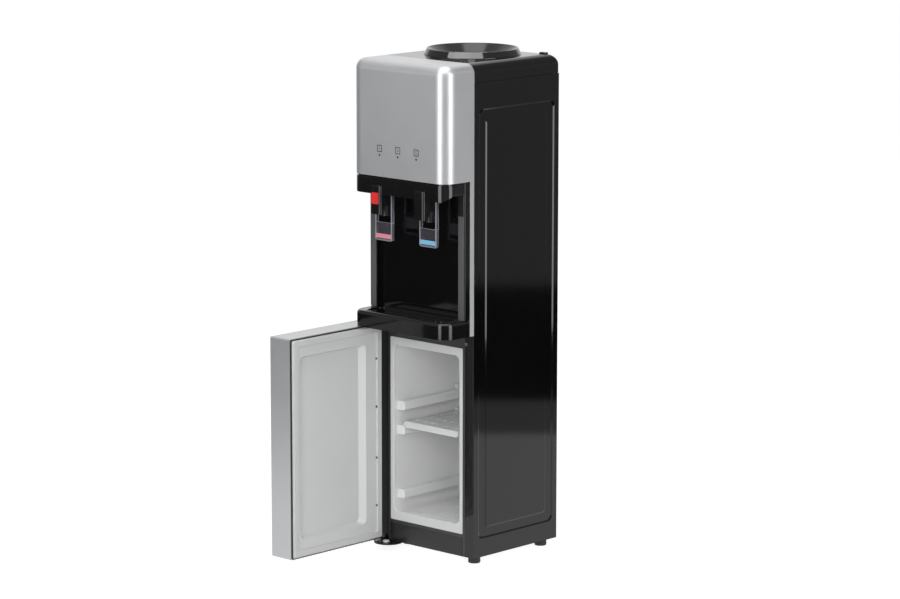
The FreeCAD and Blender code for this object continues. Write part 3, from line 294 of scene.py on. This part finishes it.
def paddle_plastic(name, centre_x):
    """Clear smoked lever. Its front edges look frosted and its turned-back sides less so."""
    s = Shader(name)
    split = s.add("ShaderNodeSeparateXYZ")
    s.link(s.coords, split.inputs[0])
    across = s.math("ABSOLUTE", s.math("SUBTRACT", split.outputs["X"], centre_x))
    side = s.remap(across, 0.0, 1.0, PADDLE_INSIDE, PADDLE_INSIDE + 0.4 * MM)
    front = s.remap(split.outputs["Y"], 1.0, 0.3, PADDLE_FACE + 0.1 * MM, PADDLE_FACE + 0.5 * MM)
    foot = s.remap(split.outputs["Z"], 0.7, 0.0, PADDLE_FOOT, PADDLE_FOOT + 0.4 * MM)
    bar = s.remap(s.math("ABSOLUTE", s.math("SUBTRACT", split.outputs["Z"], PADDLE_BAR)), 1.0, 0.0,
                  0.5 * MM, 0.9 * MM)
    rim = s.math("MAXIMUM", s.math("MULTIPLY", side, front), s.math("MAXIMUM", foot, bar))
    body = s.principled(IOR=ACRYLIC_IOR)
    streaks = s.noise(1.0, 3.0, 0.6, s.stretched((420, 60, 24)))
    smoke = s.ramp(streaks, (0.24, 0.23, 0.28), (0.36, 0.34, 0.41))
    frost = s.ramp(streaks, (0.26, 0.27, 0.29), (0.36, 0.37, 0.39))
    mix = s.add("ShaderNodeMix", data_type="RGBA")
    s.link(rim, mix.inputs["Factor"])
    s.link(smoke, mix.inputs["A"])
    s.link(frost, mix.inputs["B"])
    s.link(mix.outputs["Result"], body.inputs["Base Color"])
    s.link(s.remap(rim, 0.90, 0.20, 0, 1), body.inputs["Transmission Weight"])
    s.link(s.remap(rim, 0.06, 0.30, 0, 1), body.inputs["Roughness"])
    s.link(s.bump(s.noise(50.0, 1.0), 0.00002), body.inputs["Normal"])
    return s.material


def liner_plastic(name, flange, lifted_inside):
    """White liner, painted a little whiter behind its flange: painted light that lifts the shade inside the
    cupboard.
    """
    s = Shader(name)
    split = s.add("ShaderNodeSeparateXYZ")
    s.link(s.coords, split.inputs[0])
    deep = s.remap(split.outputs["Y"], 0.0, 1.0, FLANGE_DEEP, 2 * FLANGE_DEEP)
    broad = s.noise(*BROAD)
    body = s.principled()
    mix = s.add("ShaderNodeMix", data_type="RGBA")
    s.link(deep, mix.inputs["Factor"])
    s.link(s.ramp(broad, shade(flange, 0.985), shade(flange, 1.015)), mix.inputs["A"])
    s.link(s.ramp(broad, shade(lifted_inside, 0.985), shade(lifted_inside, 1.015)), mix.inputs["B"])
    s.link(mix.outputs["Result"], body.inputs["Base Color"])
    s.link(s.remap(s.noise(*SCUFFS), 0.33, 0.41), body.inputs["Roughness"])
    s.link(s.bump(s.noise(1400.0, 2.0), 0.000012), body.inputs["Normal"])
    return s.material


def rimmed_plug(name):
    """Black plug with a painted highlight: a bright grey ring round its rim."""
    s = Shader(name)
    from_centre = s.add("ShaderNodeVectorMath", operation="DISTANCE")
    s.link(s.coords, from_centre.inputs[0])
    from_centre.inputs[1].default_value = PLUG_CENTRE
    body = s.principled()
    # painted highlight: the plug is painted bright grey beyond the radii of its rim
    s.link(s.ramp(from_centre.outputs["Value"], (0.006, 0.006, 0.006), (0.16, 0.16, 0.17), *PLUG_RIM),
           body.inputs["Base Color"])
    s.link(s.remap(s.noise(400.0), 0.25, 0.4), body.inputs["Roughness"])
    return s.material


# ---- places on the part that some finishes follow ----

TAP_X = 65.4 * MM                 # the taps stand this far from the centreline
PADDLE_INSIDE = 21.4 * MM         # a paddle's sides start this far from its middle
PADDLE_FACE = -64.0 * MM          # y of its front
PADDLE_FOOT = 702.4 * MM          # top of its lower edge
PADDLE_BAR = 739.0 * MM           # top of its plate, where its window starts
RIM_FACE = -30 * MM               # y of the recess rims' front
RIM_SHADE_EDGE = 767 * MM           # above this height the rims' front face is painted dark and glossy: painted shade under the fascia
FLANGE_DEEP = 3 * MM              # y of the back of the cabinet liner's flange
COLLAR_AXIS = (0.0, 146 * MM, 0.0)
COLLAR_RIM = 99 * MM              # radius where the funnel ends and the outer wall starts
PLUG_CENTRE = (118 * MM, -0.8 * MM, 487 * MM)
PLUG_RIM = (2.9 * MM, 3.3 * MM)   # its painted highlight ring starts between these radii

# ---- finishes ----

SILVER = (0.53, 0.535, 0.548)
BLACK = (0.0022, 0.0023, 0.0026)
WHITE = (0.60, 0.605, 0.60)
RECESS_BLACK, RIM_GREY = (0.004, 0.004, 0.0044), (0.085, 0.086, 0.089)
ACRYLIC_IOR = 1.49

# moulded: colour, roughness and its spread, shift of colour, grain per metre, depth of grain and of waves
FINISH = {
    "silver_paint": metallic_paint("silver_paint", SILVER, 0.40),
    "silver_door": metallic_paint("silver_door", SILVER, 0.39),
    "black_paint": moulded("black_paint", BLACK, 0.065, 0.02, 0.1, 260.0, 0.000003),
    "black_gloss": moulded("black_gloss", BLACK, 0.07, 0.03, 0.1, 900.0, 0.000002, 0.00002),
    "black_collar": collar_plastic("black_collar"),
    "black_deep": moulded("black_deep", (0.0055, 0.0055, 0.006), 0.10, 0.03, 0.1, 900.0, 0.000002, 0.00001),
    "black_cap": moulded("black_cap", (0.006, 0.006, 0.0065), 0.14, 0.04, 0.1, 1200.0, 0.000005),
    "black_recess": recess_plastic("black_recess"),
    "black_satin": moulded("black_satin", (0.008, 0.008, 0.0085), 0.32, 0.08, 0.15, 1200.0, 0.00002),
    # painted light: a lighter copy of black_satin for the front frame, lifting the shade that the tray base
    # casts on it
    "black_satin_lightened": moulded("black_satin_lightened", (0.026, 0.0262, 0.0265), 0.34, 0.08, 0.15, 1200.0, 0.00002),
    "black_grid": moulded("black_grid", (0.003, 0.003, 0.0032), 0.16, 0.05, 0.15, 1200.0, 0.00001),
    "black_enamel": moulded("black_enamel", (0.006, 0.006, 0.006), 0.28, 0.1, 0.2, 500.0, 0.00002),
    "rubber": moulded("rubber", (0.012, 0.012, 0.012), 0.62, 0.12, 0.25, 700.0, 0.00005),
    "white_liner": moulded("white_liner", WHITE, 0.36, 0.08, 0.015, 1400.0, 0.000012, 0.00003),
    # painted light: the cupboard's inside is 1.18 times whiter than its flange, lifting the shade in the
    # cavity
    "white_cupboard": liner_plastic("white_cupboard", WHITE, shade(WHITE, 1.18)),
    "white_shelf": moulded("white_shelf", shade(WHITE, 1.04), 0.32, 0.08, 0.015, 1400.0, 0.00001),
    "white_gasket": moulded("white_gasket", shade(WHITE, 0.93), 0.5, 0.1, 0.03, 700.0, 0.00002),
    "white_nylon": moulded("white_nylon", shade(WHITE, 0.98), 0.42, 0.1, 0.03, 900.0, 0.00001),
    "hose": moulded("hose", (0.62, 0.64, 0.62), 0.3, 0.08, 0.05, 400.0, 0.00001),
    "foam": foam("foam", (0.80, 0.74, 0.50)),
    "zinc": steel("zinc", (0.60, 0.60, 0.61), 0.3),
    "stainless": steel("stainless", (0.62, 0.61, 0.60), 0.24, (900, 900, 30)),
    "galvanised": galvanised("galvanised", (0.52, 0.53, 0.54)),
    "copper": copper("copper", (0.78, 0.40, 0.24)),
    "paddle_hot": paddle_plastic("paddle_hot", -TAP_X),
    "paddle_cold": paddle_plastic("paddle_cold", TAP_X),
    "lamp_lens": moulded("lamp_lens", (0.010, 0.010, 0.011), 0.15, 0.05, 0.2),
    "stripe_red": moulded("stripe_red", (0.66, 0.25, 0.30), 0.22, 0.05, 0.05),
    "stripe_blue": moulded("stripe_blue", (0.20, 0.45, 0.66), 0.22, 0.05, 0.05),
    "button_red": moulded("button_red", (0.66, 0.020, 0.018), 0.30, 0.05, 0.04),
    "plug_black": rimmed_plug("plug_black"),
    "screw_dark": steel("screw_dark", (0.10, 0.095, 0.09), 0.42),
    "rocker_red": moulded("rocker_red", (0.55, 0.01, 0.01), 0.25, 0.05, 0.05),
    "rocker_green": moulded("rocker_green", (0.01, 0.30, 0.06), 0.25, 0.05, 0.05),
    "circuit_board": moulded("circuit_board", (0.02, 0.16, 0.07), 0.3, 0.1, 0.2),
    "print_grey": moulded("print_grey", (0.030, 0.031, 0.034), 0.5, 0.1, 0.15),
}

NODE_FINISH = {
    "head_cover": "silver_paint",
    "door_shell": "silver_door",
    "tap_cap_hot": "black_cap", "tap_cap_cold": "black_cap",
    "side_panel_left": "black_paint", "side_panel_right": "black_paint",
    "top_cover": "black_gloss", "top_plug": "black_satin", "bottle_collar": "black_collar",
    "recess_liner": "black_recess", "tap_fascia": "black_deep", "tray_base": "black_deep",
    "front_frame": "black_satin_lightened", "kick_panel": "black_satin", "door_trim": "black_satin",
    "drip_tray": "black_grid", "drip_grid": "black_grid",
    "tap_valves": "black_satin", "switch_housing": "black_satin",
    "hinge_plate_lower": "black_enamel", "hinge_plate_upper": "black_enamel", "condenser": "black_enamel",
    "compressor": "black_enamel",
    "back_panel": "galvanised", "base_plate": "galvanised", "equipment_deck": "galvanised",
    "cabinet_liner": "white_cupboard", "cabinet_shelf": "white_shelf", "door_liner": "white_liner",
    "door_gasket": "white_gasket",
    "hinge_washer": "white_nylon", "hinge_plate_cap": "white_nylon", "hinge_hole_plug": "plug_black",
    "door_bushes": "white_nylon", "drain_fitting": "white_nylon",
    "cabinet_foam": "foam", "door_foam": "foam", "tank_insulation": "foam",
    "levelling_feet": "rubber", "compressor_grommets": "rubber", "cord_gland": "rubber",
    "cold_hose": "hose", "hot_hose": "hose",
    "hot_tank": "stainless", "cold_tank": "stainless", "heater_band": "stainless",
    "evaporator_sleeve": "copper",
    "hinge_pins": "zinc", "panel_screws": "zinc", "door_liner_screws": "screw_dark", "paddle_pivots": "zinc",
    "indicator_board": "circuit_board", "indicator_lenses": "lamp_lens",
    "paddle_hot": "paddle_hot", "paddle_cold": "paddle_cold",
    "paddle_stripe_hot": "stripe_red", "paddle_stripe_cold": "stripe_blue",
    "child_lock_button": "button_red",
    "hot_switch_rocker": "rocker_red", "cold_switch_rocker": "rocker_green",
}


def dress_nodes():
    for node, finish in NODE_FINISH.items():
        mesh = NODES[node].data
        mesh.materials.clear()
        mesh.materials.append(FINISH[finish])


# ---- small pieces ----

def new_piece(name, mesh, finish, body):
    piece = bpy.data.objects.new(name, mesh)
    bpy.context.scene.collection.objects.link(piece)
    mesh.materials.append(FINISH[finish])
    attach(piece, body)
    return piece


def slab(bm, outline, y_back, y_front):
    """Adds a flat print, whose outline is a list of (x, z), between two depths."""
    back = [bm.verts.new((x, y_back, z)) for x, z in outline]
    front = [bm.verts.new((x, y_front, z)) for x, z in outline]
    bm.faces.new(front)
    bm.faces.new(back[::-1])
    for i in range(len(outline)):
        j = (i + 1) % len(outline)
        bm.faces.new((front[i], back[i], back[j], front[j]))


def rounded_square(x, z, half_w, half_h, r):
    """An outline as a list of (x, z), with a quarter circle at each corner."""
    points = []
    for corner, (sx, sz) in enumerate(((1, 1), (-1, 1), (-1, -1), (1, -1))):
        corner_x, corner_z = x + sx * (half_w - r), z + sz * (half_h - r)
        for step in range(CORNER_STEPS + 1):
            turn = math.radians(90 * corner + 90 * step / CORNER_STEPS)
            points.append((corner_x + r * math.cos(turn), corner_z + r * math.sin(turn)))
    return points


def ring(bm, outer, inner, y_back, y_front):
    """Adds a closed flat ring between two outlines with equal numbers of points."""
    rows = [[bm.verts.new((x, y, z)) for x, z in line]
            for line, y in ((outer, y_front), (inner, y_front), (inner, y_back), (outer, y_back))]
    for a, b in zip(rows, rows[1:] + rows[:1]):
        for i in range(len(a)):
            j = (i + 1) % len(a)
            bm.faces.new((a[i], a[j], b[j], b[i]))


def finish_mesh(bm, name):
    bmesh.ops.recalc_face_normals(bm, faces=bm.faces)
    mesh = bpy.data.meshes.new(name)
    bm.to_mesh(mesh)
    bm.free()
    return mesh


LAMP_XS = (-54 * MM, 0.0, 54 * MM)
HEAD_FRONT = -88 * MM
PRINT_ROOT, PRINT_PROUD = 0.02 * MM, 0.06 * MM        # how far a print reaches into the head and out of it
CORNER_STEPS = 4
ICON_Z, ICON_HALF_W, ICON_HALF_H, ICON_LINE = 902.5 * MM, 7.2 * MM, 7.5 * MM, 1.7 * MM
ICON_R, ICON_INNER_R = 1.8 * MM, 0.9 * MM
BAR_PITCH, BAR_HALF_W, BAR_HALF_H, BAR_R = 3.0 * MM, 2.6 * MM, 0.55 * MM, 0.5 * MM


def indicator_icons():
    """Three plain symbols over the lamps: a rounded frame with one, two and three short bars."""
    bm = bmesh.new()
    back, front = HEAD_FRONT + PRINT_ROOT, HEAD_FRONT - PRINT_PROUD
    for count, x in enumerate(LAMP_XS, 1):
        outer = rounded_square(x, ICON_Z, ICON_HALF_W, ICON_HALF_H, ICON_R)
        inner = rounded_square(x, ICON_Z, ICON_HALF_W - ICON_LINE, ICON_HALF_H - ICON_LINE, ICON_INNER_R)
        ring(bm, outer, inner, back, front)
        for bar in range(count):
            z = ICON_Z + (bar - (count - 1) / 2) * BAR_PITCH
            slab(bm, rounded_square(x, z, BAR_HALF_W, BAR_HALF_H, BAR_R), back, front)
    new_piece("indicator_icons", finish_mesh(bm, "indicator_icons"), "print_grey", "body")


# ---- studio ----

def place_camera():
    data = bpy.data.cameras.new("camera")
    data.lens, data.sensor_width = CAMERA_LENS, SENSOR
    data.clip_end = CAMERA_REACH
    camera = bpy.data.objects.new("camera", data)
    turn = (Matrix.Rotation(math.radians(CAMERA_YAW), 4, "Z")
            @ Matrix.Rotation(math.radians(90 + CAMERA_PITCH), 4, "X")
            @ Matrix.Rotation(math.radians(CAMERA_ROLL), 4, "Z"))
    camera.matrix_world = Matrix.Translation(CAMERA_AT) @ turn
    bpy.context.scene.collection.objects.link(camera)
    bpy.context.scene.camera = camera


def blend(s, factor, first, second):
    """Mixes two shaders: the first where the factor is 0 and the second where it is 1."""
    node = s.add("ShaderNodeMixShader")
    s.link(factor, node.inputs[0])
    s.link(first.outputs[0], node.inputs[1])
    s.link(second.outputs[0], node.inputs[2])
    return node


def floor_material():
    """White paper with a faint shadow. Glossy faces see a white floor that ends in a dark one."""
    s = Shader("floor_paper")
    path = s.add("ShaderNodeLightPath")
    paper = s.add("ShaderNodeBsdfDiffuse")
    paper.inputs["Color"].default_value = (FLOOR_GREY, FLOOR_GREY, FLOOR_GREY, 1)
    thin_paper = s.add("ShaderNodeBsdfDiffuse")
    thin_paper.inputs["Color"].default_value = (FLOOR_SEEN_GREY, FLOOR_SEEN_GREY, FLOOR_SEEN_GREY, 1)
    glow = s.add("ShaderNodeEmission")
    glow.inputs["Strength"].default_value = FLOOR_SEEN_GLOW
    seen = s.add("ShaderNodeAddShader")
    s.link(thin_paper.outputs[0], seen.inputs[0])
    s.link(glow.outputs[0], seen.inputs[1])
    white = s.add("ShaderNodeEmission")
    rings = s.add("ShaderNodeValToRGB")
    flat = s.add("ShaderNodeVectorMath", operation="LENGTH")
    s.link(s.stretched((1, 1, 0)), flat.inputs[0])
    reach = FLOOR_RINGS[-1][0] + 0.1
    s.link(s.math("DIVIDE", flat.outputs["Value"], reach), rings.inputs[0])
    stops = rings.color_ramp.elements
    stops.remove(stops[1])
    for radius, level in FLOOR_RINGS:
        stop = stops.new(radius / reach) if radius else stops[0]
        stop.color = (level, level, level, 1)
    mirrored = s.add("ShaderNodeEmission")
    s.link(rings.outputs[0], mirrored.inputs["Color"])
    first = blend(s, path.outputs["Is Camera Ray"], paper, seen)
    second = blend(s, path.outputs["Is Glossy Ray"], first, mirrored)
    last = blend(s, path.outputs["Is Transmission Ray"], second, white)
    s.link(last.outputs[0], s.output.inputs[0])
    return s.material


def floor():
    bpy.ops.mesh.primitive_plane_add(size=2 * FLOOR_HALF, location=(0, 0, 0))
    plane = bpy.context.object
    plane.name = "floor"
    plane.data.materials.append(floor_material())


def wall_material():
    """The studio's walls, seen only in reflections: mid grey, and white behind the object."""
    s = Shader("studio_wall")
    split = s.add("ShaderNodeSeparateXYZ")
    s.link(s.coords, split.inputs[0])
    angle = s.math("ARCTAN2", split.outputs["X"], s.math("MULTIPLY", split.outputs["Y"], -1.0))
    centre = math.radians(BACKDROP_AZIMUTH - 360)
    away = s.math("ABSOLUTE", s.math("SUBTRACT", angle, centre))
    half = math.radians(BACKDROP_HALF_WIDTH)
    glow = s.remap(away, 1.0, WALL_GLOW, half * 0.8, half * 1.2)
    light = s.add("ShaderNodeEmission")
    s.link(glow, light.inputs["Strength"])
    s.link(light.outputs[0], s.output.inputs[0])
    return s.material


def studio_wall():
    """The round wall of the studio, which only glossy faces see."""
    bm = bmesh.new()
    low, high = [], []
    for step in range(WALL_STEPS):
        turn = 2 * math.pi * step / WALL_STEPS
        x, y = WALL_AT[0] + WALL_R * math.sin(turn), WALL_AT[1] + WALL_R * math.cos(turn)
        low.append(bm.verts.new((x, y, WALL_LOW)))
        high.append(bm.verts.new((x, y, WALL_HIGH)))
    for i in range(WALL_STEPS):
        j = (i + 1) % WALL_STEPS
        bm.faces.new((low[i], low[j], high[j], high[i]))
    wall = bpy.data.objects.new("studio_wall", finish_mesh(bm, "studio_wall"))
    bpy.context.scene.collection.objects.link(wall)
    wall.data.materials.append(wall_material())
    wall.visible_camera = wall.visible_diffuse = wall.visible_shadow = wall.visible_transmission = False


def world():
    """Soft light for the object, and white where it is seen, mirrored or looked at through clear plastic."""
    scene_world = bpy.data.worlds.new("world")
    bpy.context.scene.world = scene_world
    scene_world.use_nodes = True
    tree = scene_world.node_tree
    tree.nodes.clear()
    output = tree.nodes.new("ShaderNodeOutputWorld")
    path = tree.nodes.new("ShaderNodeLightPath")
    seen = tree.nodes.new("ShaderNodeMath")
    seen.operation = "MAXIMUM"
    tree.links.new(path.outputs["Is Camera Ray"], seen.inputs[0])
    tree.links.new(path.outputs["Is Transmission Ray"], seen.inputs[1])
    seen_too = tree.nodes.new("ShaderNodeMath")
    seen_too.operation = "MAXIMUM"
    tree.links.new(seen.outputs[0], seen_too.inputs[0])
    tree.links.new(path.outputs["Is Glossy Ray"], seen_too.inputs[1])
    soft, white = tree.nodes.new("ShaderNodeBackground"), tree.nodes.new("ShaderNodeBackground")
    soft.inputs["Color"].default_value = (*WORLD_TINT, 1)
    soft.inputs["Strength"].default_value = WORLD_GLOW
    white.inputs["Strength"].default_value = 1.0
    mix = tree.nodes.new("ShaderNodeMixShader")
    tree.links.new(seen_too.outputs[0], mix.inputs[0])
    tree.links.new(soft.outputs[0], mix.inputs[1])
    tree.links.new(white.outputs[0], mix.inputs[2])
    tree.links.new(mix.outputs[0], output.inputs[0])


def softbox(name, azimuth, elevation, distance, wide, high, glow, lit):
    """A rectangular light aimed at LIGHT_AIM. Azimuth 0 is in front, 90 to the right. Glow is radiance."""
    turn, lift = math.radians(azimuth), math.radians(elevation)
    data = bpy.data.lights.new(name, "AREA")
    data.shape = "RECTANGLE"
    data.size, data.size_y = wide, high
    data.energy = glow * math.pi * wide * high
    light = bpy.data.objects.new(name, data)
    way = Vector((math.sin(turn) * math.cos(lift), -math.cos(turn) * math.cos(lift), math.sin(lift)))
    light.matrix_world = (Matrix.Translation(Vector(LIGHT_AIM) + way * distance)
                          @ (-way).to_track_quat("-Z", "Y").to_matrix().to_4x4())
    bpy.context.scene.collection.objects.link(light)
    light.visible_diffuse = lit != "glossy"
    light.visible_glossy = lit != "diffuse"


def lights():
    for light in SOFTBOXES:
        softbox(*light)


def view_settings():
    bpy.context.scene.view_settings.view_transform = "Standard"


dress_nodes()
indicator_icons()
place_camera()
floor()
studio_wall()
world()
lights()
view_settings()
